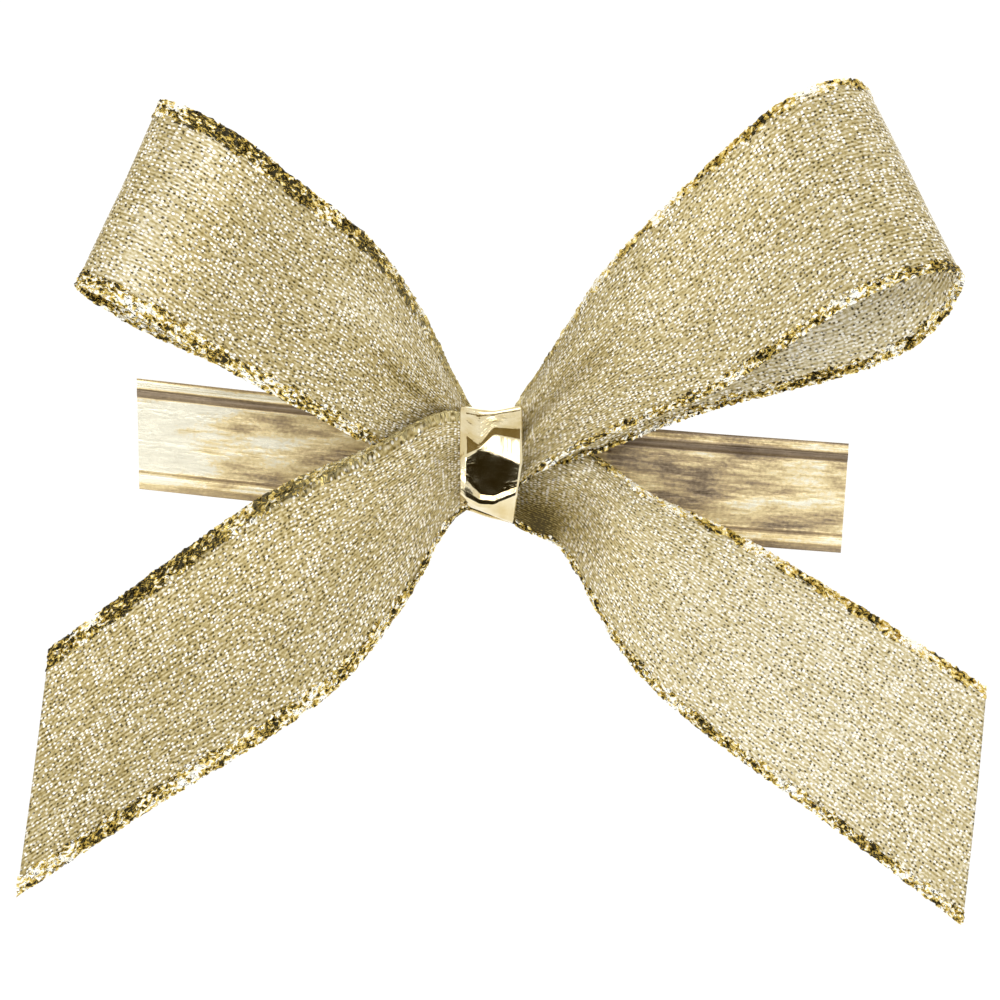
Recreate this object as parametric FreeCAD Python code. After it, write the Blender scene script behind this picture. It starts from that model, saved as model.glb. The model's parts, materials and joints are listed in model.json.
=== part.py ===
"""Pre-made gift bow: one length of woven ribbon, gathered by a foil band onto a flat clip tie.

The ribbon runs in three layers through the band. From front to back they are: left tail to right loop, right
loop to left loop, and left loop to right tail. Behind them lies the clip tie, two foil films with a wire near
each long edge, which is bent round the neck of a bag. The tie bends at five lines, so it is made in six lengths.

Frame: millimetres, +Z up, +Y backwards, with the origin on the flat back of the band, where the bow sits
against the bag. The front of the bow looks along -Y.
"""

import FreeCAD
import Part
import math
import os

V = FreeCAD.Vector

# Ribbon
RIBBON_WIDTH = 15.0
EDGE_WIDTH = 1.35  # metallic edge along each side of the ribbon
WEB_THICKNESS = 0.28
EDGE_THICKNESS = 0.46
SEAM_GAP = 0.03  # between the web and its metallic edge
GRID_ACROSS = 7  # steps across the web
GRID_ACROSS_EDGE = 3
GRID_STEP = 2.2  # along the ribbon
REACH = 0.05  # how far each way the ribbon's run is measured
NUDGE = 0.002  # share of the width over which its slope across is measured

SAME_WAY = 1  # a ruled face joins its two edges start to start

# Centre band: a foil strip wrapped round the ribbon and the tie
BAND_WIDTH = 4.2
BAND_TOP = 4.25
BAND_BOTTOM = -4.4
BAND_DEPTH = 6.0
FOIL = 0.2
BAND_BACK_RADIUS = 0.45
BAND_FRONT_RADIUS = 1.7
LAP_LENGTH = 2.6  # the strip's free end, glued under the band
LAP_GAP = 0.02
LAP_INSET = 0.2  # from each side of the band
LAP_SETBACK = 0.5  # in front of the band's rounded back corner

# Gathered ribbon inside the band
CROSSING_THICKNESS = 1.5
CROSSING_GAP = 0.06
CROSSING_TOP = 3.9
CROSSING_BOTTOM = -4.05
CROSSING_LENGTH = 4.6
CROSSING_FRONT_RADIUS = 1.15
CROSSING_BACK_RADIUS = 0.25
CROSSING_BACK = -1.0  # back face of the hindmost layer

# Clip tie
TIE_WIDTH = 8.0
TIE_WAIST = 6.3  # where the band squeezes it
TIE_WAIST_LENGTH = 5.2
FILM = 0.12
WIRE_RADIUS = 0.2
WIRE_INSET = 0.95  # wire's centre to the tie's edge
WIRE_CLEARANCE = 0.02
TIE_BACK = -FOIL  # back face of the tie, against the inside of the band
BEND_GAP = 0.84  # left open at each bend line
TIE_HEIGHT = -0.55
TIE_SLOPE = -0.0914  # the tie hangs lower to the right
TIE_BOW = 0.00043  # and curves a little, per millimetre
BEND_LINES = {
    "left_tip": (-25.8, -20.0),
    "left_middle": (-20.0, -12.5),
    "left_inner": (-12.5, -4.5),
    "centre": (-4.5, 5.5),
    "right_inner": (5.5, 16.1),
    "right_tip": (16.1, 25.8),
}
FREE_ENDS = (-25.8, 25.8)


class Station:
    """One cross-section of a ribbon: its lower and upper edge points and how far its middle stands proud."""

    def __init__(self, lower, upper, proud):
        self.lower = V(*lower)
        self.upper = V(*upper)
        self.proud = proud


# Each ribbon length starts beside the band and runs outwards; a loop comes back to the band behind itself.
LEFT_TAIL = [
    Station((-2.6, -4.5, -3.8), (-2.6, -4.4, 3.6), 0.5),
    Station((-4.9, -5.0, -7.3), (-6.8, -4.9, 2.1), 0.9),
    Station((-7.7, -5.2, -11.8), (-11.1, -5.2, 0.1), 1.0),
    Station((-11.2, -5.0, -15.9), (-15.6, -5.2, -2.1), 0.9),
    Station((-14.9, -4.6, -18.8), (-19.8, -5.0, -4.9), 0.8),
    Station((-23.4, -3.8, -24.1), (-28.2, -4.4, -10.8), 0.7),
    Station((-34.6, -3.2, -31.6), (-38.9, -3.6, -18.5), 0.6),
]
RIGHT_TAIL = [
    Station((2.6, -1.75, -2.6), (2.6, -1.75, 2.2), 0.15),
    Station((4.9, -2.0, -6.2), (7.0, -2.1, 0.7), 0.35),
    Station((7.5, -2.9, -10.6), (11.1, -2.9, -2.1), 0.9),
    Station((10.1, -3.4, -14.8), (15.7, -3.4, -4.2), 1.0),
    Station((13.6, -3.6, -18.4), (20.1, -3.6, -6.4), 0.9),
    Station((21.8, -3.4, -24.3), (28.6, -3.4, -11.5), 0.8),
    Station((34.2, -3.0, -33.7), (41.6, -3.0, -20.0), 0.5),
]
LEFT_LOOP = [
    Station((-2.6, -3.1, -0.4), (-2.5, -3.1, 5.6), 0.15),
    Station((-7.1, -3.6, 1.7), (-3.8, -4.0, 9.1), 0.5),
    Station((-11.6, -5.6, 3.8), (-7.2, -5.8, 14.3), 0.9),
    Station((-16.2, -7.6, 6.3), (-10.6, -7.6, 17.7), 0.9),
    Station((-20.8, -8.9, 9.0), (-14.5, -8.7, 20.7), 0.7),
    Station((-26.2, -8.5, 12.0), (-19.9, -8.3, 24.6), 0.3),
    Station((-30.2, -5.9, 13.0), (-24.0, -5.7, 26.2), 0.0),
    Station((-27.4, -3.0, 10.7), (-20.8, -3.0, 23.4), 0.0),
    Station((-21.2, -2.7, 7.8), (-15.2, -2.7, 20.2), -0.2),
    Station((-15.6, -2.7, 4.9), (-10.7, -2.7, 16.1), -0.3),
    Station((-10.6, -2.5, 2.2), (-6.6, -2.5, 11.6), -0.3),
    Station((-6.0, -2.1, 0.4), (-4.0, -2.1, 7.2), -0.2),
    Station((-2.6, -1.75, -0.6), (-2.6, -1.75, 3.6), -0.1),
]
RIGHT_LOOP = [
    Station((2.6, -4.5, -1.2), (2.5, -4.4, 5.2), 0.3),
    Station((7.5, -5.6, 1.6), (4.8, -5.6, 9.0), 0.9),
    Station((12.6, -7.4, 3.6), (8.1, -7.4, 13.8), 1.2),
    Station((17.6, -9.2, 5.9), (12.1, -9.0, 18.6), 1.0),
    Station((22.6, -10.4, 9.3), (16.8, -10.2, 22.8), 0.7),
    Station((29.9, -10.2, 13.1), (23.7, -9.9, 27.3), 0.3),
    Station((33.8, -7.0, 13.5), (26.9, -6.8, 26.7), 0.0),
    Station((31.8, -3.5, 9.7), (24.6, -3.5, 23.3), 0.0),
    Station((26.6, -3.2, 7.0), (20.0, -3.2, 20.2), -0.2),
    Station((20.9, -3.2, 5.4), (15.2, -3.2, 17.6), -0.3),
    Station((15.6, -3.2, 3.7), (11.3, -3.2, 13.8), -0.3),
    Station((10.2, -3.2, 1.7), (7.4, -3.2, 9.2), -0.3),
    Station((5.8, -3.2, 0.2), (4.4, -3.2, 6.0), -0.2),
    Station((2.6, -3.1, -0.9), (2.6, -3.1, 4.0), -0.1),
]
# How far from the full length the slanting cut ends the upper edge of each tail.
LEFT_CUT = 8.2
RIGHT_CUT = 6.8


class Ribbon:
    """A length of ribbon as a smooth surface through its stations: s runs along it, t across it from 0 to 1."""

    def __init__(self, stations, front_side, upper_cut=0.0):
        self.front_side = front_side
        self.upper_cut = upper_cut
        marks = [0.0]
        for a, b in zip(stations, stations[1:]):
            step = ((b.lower - a.lower).Length + (b.upper - a.upper).Length) / 2
            marks.append(marks[-1] + step)
        self.length = marks[-1]
        self.lower = self._curve([st.lower for st in stations], marks)
        self.upper = self._curve([st.upper for st in stations], marks)
        self.proud = self._curve([V(st.proud, m, 0) for st, m in zip(stations, marks)], marks)

    @staticmethod
    def _curve(points, marks):
        curve = Part.BSplineCurve()
        curve.interpolate(Points=points, Parameters=marks)
        return curve

    def _middle(self, s):
        return (self.lower.value(s) + self.upper.value(s)) * 0.5

    def point(self, s, t):
        """The point of the mid-surface at s and t."""
        s = min(max(s, 0.0), self.length)
        lower, upper = self.lower.value(s), self.upper.value(s)
        along = self._middle(min(s + REACH, self.length)) - self._middle(max(s - REACH, 0.0))
        out = along.cross(upper - lower)
        out.normalize()
        rise = self.proud.value(s).x * 4 * t * (1 - t) * self.front_side
        return lower + (upper - lower) * t + out * rise

    def end(self, t):
        """Where the ribbon ends at t, which slants on a tail."""
        return self.length - self.upper_cut * t

    def sheet(self, t_low, t_high, thickness):
        """A closed solid of that thickness round the surface between two places across the ribbon."""
        rows = max(6, round(self.length / GRID_STEP))
        columns = GRID_ACROSS if t_high - t_low > 0.5 else GRID_ACROSS_EDGE
        grids = ([], [])
        for i in range(rows + 1):
            lines = ([], [])
            for j in range(columns + 1):
                t = t_low + (t_high - t_low) * j / columns
                s = self.end(t) * i / rows
                here = self.point(s, t)
                across = self.point(s, t + NUDGE) - self.point(s, t - NUDGE)
                along = self.point(s + REACH, t) - self.point(s - REACH, t)
                out = along.cross(across)
                out.normalize()
                lines[0].append(here + out * (thickness / 2))
                lines[1].append(here - out * (thickness / 2))
            grids[0].append(lines[0])
            grids[1].append(lines[1])
        return closed_between(*grids)


def closed_between(front_grid, back_grid):
    """A solid between two surfaces through point grids of the same layout."""
    surfaces = []
    for grid in (front_grid, back_grid):
        surface = Part.BSplineSurface()
        surface.interpolate(grid)
        surfaces.append(surface)
    faces = [surface.toShape() for surface in surfaces]
    for side in (0, 1):
        ends = [surface.uIso(surface.bounds()[side]).toShape() for surface in surfaces]
        edges = [surface.vIso(surface.bounds()[2 + side]).toShape() for surface in surfaces]
        faces.append(Part.makeRuledSurface(*ends, SAME_WAY))
        faces.append(Part.makeRuledSurface(*edges, SAME_WAY))
    shell = Part.makeShell(faces)
    shell.sewShape()
    return upright(Part.makeSolid(shell))


def upright(solid):
    """The solid with its faces turned outwards."""
    if solid.Volume < 0:
        solid.reverse()
    return solid


def rounded_outline(x, y_front, y_back, z_low, z_high, front_radius, back_radius):
    """A closed wire in the plane at x: a rectangle with one radius at its front corners and one at its back."""

    def corner(y, z, radius, y_way, z_way, first):
        centre = V(x, y + y_way * radius, z + z_way * radius)
        half = radius * math.sqrt(0.5)
        middle = centre + V(0, -y_way * half, -z_way * half)
        on_y, on_z = V(x, y, z + z_way * radius), V(x, y + y_way * radius, z)
        ends = (on_y, on_z) if first == "y" else (on_z, on_y)
        return Part.Arc(ends[0], middle, ends[1]).toShape()

    arcs = [
        corner(y_front, z_low, front_radius, 1, 1, "y"),
        corner(y_back, z_low, back_radius, -1, 1, "z"),
        corner(y_back, z_high, back_radius, -1, -1, "y"),
        corner(y_front, z_high, front_radius, 1, -1, "z"),
    ]
    edges = []
    for arc, following in zip(arcs, arcs[1:] + arcs[:1]):
        edges.append(arc)
        edges.append(Part.makeLine(arc.Vertexes[-1].Point, following.Vertexes[0].Point))
    return Part.Wire(Part.__sortEdges__(edges))


def block(x_low, length, y_front, y_back, z_low, z_high, front_radius, back_radius):
    """A bar along X with a rounded-rectangle section."""
    wire = rounded_outline(x_low, y_front, y_back, z_low, z_high, front_radius, back_radius)
    return Part.Face(wire).extrude(V(length, 0, 0))


def centre_band():
    """The foil strip as a closed ring round the ribbon and the tie."""
    outer = block(
        -BAND_WIDTH / 2, BAND_WIDTH, -BAND_DEPTH, 0, BAND_BOTTOM, BAND_TOP, BAND_FRONT_RADIUS, BAND_BACK_RADIUS
    )
    inner = block(
        -BAND_WIDTH,
        2 * BAND_WIDTH,
        FOIL - BAND_DEPTH,
        -FOIL,
        BAND_BOTTOM + FOIL,
        BAND_TOP - FOIL,
        BAND_FRONT_RADIUS - FOIL,
        BAND_BACK_RADIUS - FOIL,
    )
    return outer.cut(inner)


def centre_band_lap():
    """The strip's free end, glued flat under the band."""
    front = -BAND_BACK_RADIUS - LAP_SETBACK - LAP_LENGTH
    corner = V(LAP_INSET - BAND_WIDTH / 2, front, BAND_BOTTOM - LAP_GAP - FOIL)
    return Part.makeBox(BAND_WIDTH - 2 * LAP_INSET, LAP_LENGTH, FOIL, corner)


def crossing(layer):
    """One gathered layer of ribbon inside the band; layer 0 is the hindmost."""
    back = CROSSING_BACK - layer * (CROSSING_THICKNESS + CROSSING_GAP)
    return block(
        -CROSSING_LENGTH / 2,
        CROSSING_LENGTH,
        back - CROSSING_THICKNESS,
        back,
        CROSSING_BOTTOM,
        CROSSING_TOP,
        CROSSING_FRONT_RADIUS,
        CROSSING_BACK_RADIUS,
    )


def tie_line(x):
    """The tie's height at x."""
    return TIE_HEIGHT + TIE_SLOPE * x + TIE_BOW * x * x


class TieLength:
    """One length of the clip tie between two bend lines, built flat along X and then set on the tie's line."""

    def __init__(self, name, ends):
        self.name = name
        gaps = [0.0 if end in FREE_ENDS else BEND_GAP / 2 for end in ends]
        self.start = V(ends[0], 0, tie_line(ends[0]))
        self.run = V(ends[1] - ends[0], 0, tie_line(ends[1]) - tie_line(ends[0]))
        self.low = gaps[0]
        self.size = self.run.Length - gaps[0] - gaps[1]
        self.waisted = name == "centre"
        self.wire_y = TIE_BACK - FILM - WIRE_RADIUS - WIRE_CLEARANCE
        self.wire_z = TIE_WIDTH / 2 - WIRE_INSET

    def _placed(self, shape):
        turn = math.degrees(math.atan2(-self.run.z, self.run.x))
        shape.rotate(V(0, 0, 0), V(0, 1, 0), turn)
        shape.translate(self.start)
        return shape

    def _plate(self, y_back):
        plate = Part.makeBox(self.size, FILM, TIE_WIDTH, V(self.low, y_back - FILM, -TIE_WIDTH / 2))
        if self.waisted:
            depth = (TIE_WIDTH - TIE_WAIST) / 2
            start = -self.start.x - TIE_WAIST_LENGTH / 2
            for low in (-TIE_WIDTH / 2, TIE_WIDTH / 2 - depth):
                corner = V(start, y_back - 2 * FILM, low)
                plate = plate.cut(Part.makeBox(TIE_WAIST_LENGTH, 3 * FILM, depth, corner))
        return plate

    def _rod(self, radius, z):
        return Part.makeCylinder(radius, self.size, V(self.low, self.wire_y, z), V(1, 0, 0))

    def _tunnel(self, radius, z):
        """A bar that fills a wire's hump down to the back film."""
        depth = TIE_BACK - FILM - self.wire_y
        foot = Part.makeBox(self.size, depth, 2 * radius, V(self.low, self.wire_y, z - radius))
        behind = Part.makeBox(self.size, radius, 2 * radius, V(self.low, TIE_BACK - FILM, z - radius))
        return self._rod(radius, z).cut(behind).fuse(foot)

    def film_back(self):
        return self._placed(self._plate(TIE_BACK))

    def film_front(self):
        """The front film, raised over the two wires."""
        film = self._plate(TIE_BACK - FILM)
        room = WIRE_RADIUS + WIRE_CLEARANCE
        for z in (-self.wire_z, self.wire_z):
            film = film.fuse(self._tunnel(room + FILM, z))
        for z in (-self.wire_z, self.wire_z):
            film = film.cut(self._tunnel(room, z))
        return self._placed(film.removeSplitter())

    def wire(self, side):
        return self._placed(self._rod(WIRE_RADIUS, side * self.wire_z))


def ribbon_nodes(name, ribbon):
    """The woven web of one ribbon length and its two metallic edges."""
    edge = EDGE_WIDTH / RIBBON_WIDTH
    gap = SEAM_GAP / RIBBON_WIDTH
    return {
        f"ribbon_{name}": ribbon.sheet(edge + gap, 1 - edge - gap, WEB_THICKNESS),
        f"{name}_lower_edge": ribbon.sheet(0.0, edge, EDGE_THICKNESS),
        f"{name}_upper_edge": ribbon.sheet(1 - edge, 1.0, EDGE_THICKNESS),
    }


def build():
    """Every node by name."""
    nodes = {"centre_band": centre_band(), "centre_band_lap": centre_band_lap()}
    for layer, name in enumerate(("back", "middle", "front")):
        nodes[f"ribbon_crossing_{name}"] = crossing(layer)
    nodes.update(ribbon_nodes("left_tail", Ribbon(LEFT_TAIL, -1, LEFT_CUT)))
    nodes.update(ribbon_nodes("right_tail", Ribbon(RIGHT_TAIL, 1, RIGHT_CUT)))
    nodes.update(ribbon_nodes("left_loop", Ribbon(LEFT_LOOP, -1)))
    nodes.update(ribbon_nodes("right_loop", Ribbon(RIGHT_LOOP, 1)))
    for name, ends in BEND_LINES.items():
        length = TieLength(name, ends)
        nodes[f"tie_{name}_film_front"] = length.film_front()
        nodes[f"tie_{name}_film_back"] = length.film_back()
        nodes[f"tie_{name}_wire_upper"] = length.wire(1)
        nodes[f"tie_{name}_wire_lower"] = length.wire(-1)
    return nodes


def main():
    os.makedirs("parts", exist_ok=True)
    for name, shape in build().items():
        if not shape.isValid() or shape.Volume <= 0:
            raise ValueError(f"{name} isn't a valid solid")
        shape.exportStep(f"parts/{name}.step")
        print(f"{name}: {len(shape.Solids)} solid, {shape.Volume:.2f} mm3")


main()
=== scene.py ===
"""A pre-made gift bow: lurex ribbon with tinsel edges, a creased foil band and a wired foil clip tie."""

import json
import logging
import math
from dataclasses import dataclass
from enum import Enum

import bpy
import numpy as np
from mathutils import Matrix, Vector


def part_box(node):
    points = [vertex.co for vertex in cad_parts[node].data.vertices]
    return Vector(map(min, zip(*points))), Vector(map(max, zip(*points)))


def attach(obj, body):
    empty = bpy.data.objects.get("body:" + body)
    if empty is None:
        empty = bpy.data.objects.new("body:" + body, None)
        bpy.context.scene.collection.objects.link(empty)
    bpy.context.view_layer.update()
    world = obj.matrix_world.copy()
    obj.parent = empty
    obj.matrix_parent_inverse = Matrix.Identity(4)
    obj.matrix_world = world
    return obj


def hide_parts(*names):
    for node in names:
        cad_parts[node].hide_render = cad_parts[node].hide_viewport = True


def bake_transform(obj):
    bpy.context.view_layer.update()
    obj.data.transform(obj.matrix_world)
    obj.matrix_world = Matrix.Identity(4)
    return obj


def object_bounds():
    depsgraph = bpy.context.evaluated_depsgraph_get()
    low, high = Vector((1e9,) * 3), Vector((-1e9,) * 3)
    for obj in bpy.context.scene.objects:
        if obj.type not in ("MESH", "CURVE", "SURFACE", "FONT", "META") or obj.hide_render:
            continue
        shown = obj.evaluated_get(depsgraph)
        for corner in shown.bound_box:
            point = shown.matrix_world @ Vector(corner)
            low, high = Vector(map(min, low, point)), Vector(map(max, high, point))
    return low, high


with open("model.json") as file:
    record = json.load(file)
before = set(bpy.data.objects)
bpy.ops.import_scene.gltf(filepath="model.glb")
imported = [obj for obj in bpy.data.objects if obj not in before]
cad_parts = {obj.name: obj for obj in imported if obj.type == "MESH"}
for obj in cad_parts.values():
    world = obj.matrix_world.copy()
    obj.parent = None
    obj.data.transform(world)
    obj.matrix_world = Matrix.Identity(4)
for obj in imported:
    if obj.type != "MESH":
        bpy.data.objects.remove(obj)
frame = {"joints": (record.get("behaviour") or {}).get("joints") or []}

log = logging.getLogger("gift_bow")

CAD_BOX = [list(corner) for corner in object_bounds()]
MM = 0.001
RIBBON_WIDTH = 15 * MM
TIE_WIDTH = 8 * MM
PATTERN_UV = "ribbon_mm"
BAKE_UV = "OFBake"
BAKE_MARGIN = 0.005
# The per-point number the materials read: painted light and shade on the woven web, and the share of plain
# yarn on the tinsel edges.
TONE = "tone"

Point = tuple[float, float, float]
Colour = tuple[float, float, float]
Levels = tuple[tuple[float, float], ...]
Socket = bpy.types.NodeSocket
Material = bpy.types.Material
Object = bpy.types.Object


class Glint(Enum):
    """What reflection is painted on a tinsel edge where it lies: the pale room, a mixture, or the dark side
    of it.
    """

    PALE = "pale"
    MIXED = "mixed"
    DEEP = "deep"


# How bright an edge's painted reflections are on the whole, and how far its blots swing about that.
GLINT_LEVELS = {Glint.PALE: (0.56, 1.5), Glint.MIXED: (0.53, 2.3), Glint.DEEP: (0.36, 2.3)}


# ---- finishes


class NodeBench:
    """A material's node tree, added to one node at a time."""

    def __init__(self, name: str, roughness: float, metallic: float) -> None:
        """Starts a material with a Principled shader.

        Args:
            name: the material's name.
            roughness: its roughness, where nothing else feeds it.
            metallic: how metallic it is, where nothing else feeds it.
        """
        self.material = bpy.data.materials.new(name)
        self.material.use_nodes = True
        self.tree = self.material.node_tree
        self.tree.nodes.clear()
        self.shader = self.tree.nodes.new("ShaderNodeBsdfPrincipled")
        output = self.tree.nodes.new("ShaderNodeOutputMaterial")
        self.tree.links.new(self.shader.outputs["BSDF"], output.inputs["Surface"])
        self.fix("Roughness", roughness)
        self.fix("Metallic", metallic)

    def fix(self, socket: str, value: object) -> None:
        """Sets one of the shader's own sockets."""
        self.shader.inputs[socket].default_value = value

    def feed(self, socket: str, source: Socket) -> None:
        """Links a pattern to one of the shader's sockets."""
        self.tree.links.new(source, self.shader.inputs[socket])

    def add(self, kind: str, inputs: dict[int | str, object], **settings: object) -> bpy.types.Node:
        """Adds a node.

        Args:
            kind: the node's type, without the leading ShaderNode.
            inputs: what each socket is linked to or set to.
            settings: the node's own settings.

        Returns:
            The new node.
        """
        node = self.tree.nodes.new("ShaderNode" + kind)
        for key, value in settings.items():
            setattr(node, key, value)
        for key, value in inputs.items():
            if isinstance(value, Socket):
                self.tree.links.new(value, node.inputs[key])
            else:
                node.inputs[key].default_value = value
        return node

    def sum(self, operation: str, *values: object) -> Socket:
        """One step of arithmetic; returns its result."""
        return self.add("Math", dict(enumerate(values)), operation=operation).outputs[0]

    def ramp(self, value: Socket, stops: tuple[tuple[float, Colour], ...]) -> Socket:
        """Turns a value into a colour.

        Args:
            value: the value, from 0 to 1.
            stops: where along it each colour stands.

        Returns:
            The colour.
        """
        node = self.add("ValToRGB", {0: value})
        elements = node.color_ramp.elements
        while len(elements) < len(stops):
            elements.new(0.5)
        for element, (position, colour) in zip(elements, stops):
            element.position = position
            element.color = (*colour, 1.0)
        return node.outputs["Color"]

    def uv(self) -> tuple[Socket, Socket, Socket]:
        """The place along and across the strip, in millimetres, and both as one vector.

        Returns:
            The place along, the place across and the vector.
        """
        vector = self.add("UVMap", {}, uv_map=PATTERN_UV).outputs["UV"]
        parts = self.add("SeparateXYZ", {0: vector})
        return parts.outputs["X"], parts.outputs["Y"], vector

    def spread(self, vector: Socket, along: float, across: float) -> Socket:
        """The vector with its two directions scaled."""
        return self.add("Mapping", {"Vector": vector, "Scale": (along, across, 1.0)}).outputs[0]

    def noise(self, vector: Socket, along: float, across: float, detail: float = 1.0) -> Socket:
        """Soft noise about 0.5.

        Args:
            vector: the place on the strip, in millimetres.
            along: how fine it is along the strip, in blots to a millimetre.
            across: how fine it is across.
            detail: how many finer layers it has.

        Returns:
            The noise.
        """
        place = self.spread(vector, along, across)
        return self.add("TexNoise", {"Vector": place, "Scale": 1.0, "Detail": detail}).outputs["Fac"]

    def shift(self, value: Socket | float, pattern: Socket, swing: float) -> Socket:
        """The value moved up and down by a pattern that swings about 0.5."""
        return self.sum("MULTIPLY_ADD", self.sum("SUBTRACT", pattern, 0.5), swing, value)

    def clamp(self, value: Socket) -> Socket:
        """The value held between 0 and 1."""
        return self.sum("MINIMUM", self.sum("MAXIMUM", value, 0.0), 1.0)

    def mix(self, share: Socket, first: Socket, second: Socket | Colour) -> Socket:
        """The first colour with a share of the second over it."""
        over = second if isinstance(second, Socket) else (*second, 1.0)
        return self.add("MixRGB", {0: share, 1: first, 2: over}).outputs[0]

    def painted(self) -> Socket:
        """The number that is painted on each point of the piece."""
        return self.add("Attribute", {}, attribute_name=TONE).outputs["Fac"]

    def bump(self, height: Socket, strength: float, distance: float) -> None:
        """Raises the surface by a height pattern."""
        node = self.add("Bump", {"Strength": strength, "Distance": distance, "Height": height})
        self.feed("Normal", node.outputs[0])


@dataclass(frozen=True)
class GlintSpots:
    """Small oval spots strewn over a weave, painted glints: how many fit in a millimetre, their size and
    their share.
    """

    pitch: tuple[float, float]
    size: float
    share: float
    scatter: float = 0.85
    sharpness: float = 8.0
    contrast: float = 1.6

    def pattern(self, bench: NodeBench, vector: Socket) -> Socket:
        """Draws the spots.

        Args:
            bench: the material's node bench.
            vector: the place on the ribbon, in millimetres.

        Returns:
            How far inside a spot the place is, from 0 to 1.
        """
        room = {"Vector": bench.spread(vector, *self.pitch), "Scale": 1.0, "Randomness": self.scatter}
        spots = bench.add("TexVoronoi", room, voronoi_dimensions="2D")
        chance = bench.add("SeparateColor", {0: spots.outputs["Color"]}).outputs[0]
        depth = bench.sum("SUBTRACT", self.size, spots.outputs["Distance"])
        inside = bench.clamp(bench.sum("MULTIPLY", depth, self.sharpness))
        luck = bench.sum("SUBTRACT", self.share, chance)
        brightness = bench.clamp(bench.sum("MULTIPLY", luck, self.contrast / self.share))
        return bench.sum("MULTIPLY", inside, brightness)


@dataclass(frozen=True)
class LurexWeave:
    """Fine woven ribbon: thin rows along it, strewn with painted bright glints and small painted dark
    reflections.
    """

    name: str = "lurex_weave"
    row: float = 0.29
    sway: float = 0.5
    middle: float = 0.485
    dash_swing: float = 1.1
    cloud_swing: float = 0.22
    row_swing: float = 0.14
    dark_glints: GlintSpots = GlintSpots((2.6, 3.4), 0.31, 0.8)
    dark_glint_depth: float = 0.95
    sparks: GlintSpots = GlintSpots((3.1, 4.7), 0.40, 0.55)
    spark_fade: float = 3.0
    painted_dark: Colour = (0.05, 0.035, 0.008)
    dark: Colour = (0.19, 0.135, 0.03)
    thread: Colour = (0.43, 0.34, 0.145)
    pale: Colour = (0.62, 0.54, 0.33)
    bright: Colour = (0.88, 0.83, 0.68)
    painted_glint: Colour = (0.98, 0.95, 0.86)

    def material(self) -> Material:
        """Makes the weave's material; its painted glints go out where painted shade darkens the cloth.

        Returns:
            The material.
        """
        bench = NodeBench(self.name, roughness=0.42, metallic=0.35)
        _along, across, vector = bench.uv()
        bent = bench.sum("MULTIPLY_ADD", bench.noise(vector, 0.25, 0.4), self.sway, across)
        rows = bench.sum("SINE", bench.sum("MULTIPLY", bent, 2 * math.pi / self.row))
        tone = bench.shift(self.middle, bench.noise(vector, 3.4, 6.0), self.dash_swing)
        tone = bench.shift(tone, bench.noise(vector, 0.20, 0.45, detail=3.0), self.cloud_swing)
        tone = bench.sum("MULTIPLY_ADD", rows, self.row_swing, tone)
        # Painted light and shade of the length, read from each point, lifts or lowers the tone.
        painted_light = bench.painted()
        tone = bench.sum("ADD", tone, painted_light)
        threads = ((0.20, self.dark), (0.48, self.thread), (0.76, self.pale), (1.0, self.bright))
        # The dark dots and the bright sparks are painted reflections of the metallic yarn; the sparks fade
        # under painted shade.
        dark_glints = bench.sum("MULTIPLY", self.dark_glints.pattern(bench, vector), self.dark_glint_depth)
        colour = bench.mix(dark_glints, bench.ramp(tone, ((0.0, self.painted_dark), *threads)), self.painted_dark)
        lit = bench.clamp(bench.sum("MULTIPLY_ADD", painted_light, self.spark_fade, 1.0))
        sparks = bench.sum("MULTIPLY", self.sparks.pattern(bench, vector), lit)
        bench.feed("Base Color", bench.mix(sparks, colour, self.painted_glint))
        bench.fix("Specular IOR Level", 0.2)
        bench.fix("Sheen Weight", 0.06)
        bench.fix("Sheen Roughness", 0.4)
        bench.bump(tone, 0.45, 0.06 * MM)
        return bench.material


@dataclass(frozen=True)
class TinselEdge:
    """Crinkled metallised yarn: painted reflections in blots of white, gold and black, crossed by thin
    bright and dark lines.
    """

    glint: Glint
    patch_swing: float = 1.5
    vein: float = 0.016
    black: Colour = (0.025, 0.018, 0.002)
    gold: Colour = (0.48, 0.33, 0.055)
    pale: Colour = (0.84, 0.68, 0.26)
    white: Colour = (1.0, 0.98, 0.88)
    plain: Colour = (0.50, 0.42, 0.20)

    def material(self) -> Material:
        """Makes the edge's material; it is plain where the yarn is drawn out.

        Returns:
            The material.
        """
        middle, swing = GLINT_LEVELS[self.glint]
        bench = NodeBench("tinsel_" + self.glint.value, roughness=0.32, metallic=0.65)
        _along, _across, vector = bench.uv()
        wobble = bench.add("TexNoise", {"Vector": vector, "Scale": 2.6, "Detail": 1.0}).outputs["Color"]
        bent = bench.add("MixRGB", {0: 0.4, 1: vector, 2: wobble}, blend_type="ADD").outputs[0]
        value = bench.shift(middle, bench.noise(bent, 2.4, 4.2, detail=2.0), swing)
        value = bench.shift(value, bench.noise(vector, 0.28, 0.5, detail=2.0), self.patch_swing)
        # The blots and the thin lines are painted reflections, brighter or darker by the glint.
        deep = ((0.37, self.black), (0.39, self.gold), (0.49, self.gold))
        shiny = ((0.52, self.pale), (0.62, self.pale), (0.65, self.white))
        blot = bench.ramp(value, deep + shiny)
        off_vein = bench.sum("ABSOLUTE", bench.sum("SUBTRACT", bench.noise(bent, 1.6, 3.4, detail=3.0), 0.5))
        thin = bench.sum("LESS_THAN", off_vein, self.vein)
        crossing = self.gold if self.glint is Glint.PALE else self.black
        crinkled = bench.mix(thin, blot, bench.ramp(value, ((0.46, self.gold), (0.58, crossing))))
        bench.feed("Base Color", bench.mix(bench.painted(), crinkled, self.plain))
        bench.feed("Roughness", bench.sum("MULTIPLY_ADD", value, 0.2, 0.2))
        bench.bump(value, 0.5, 0.1 * MM)
        return bench.material


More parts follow.
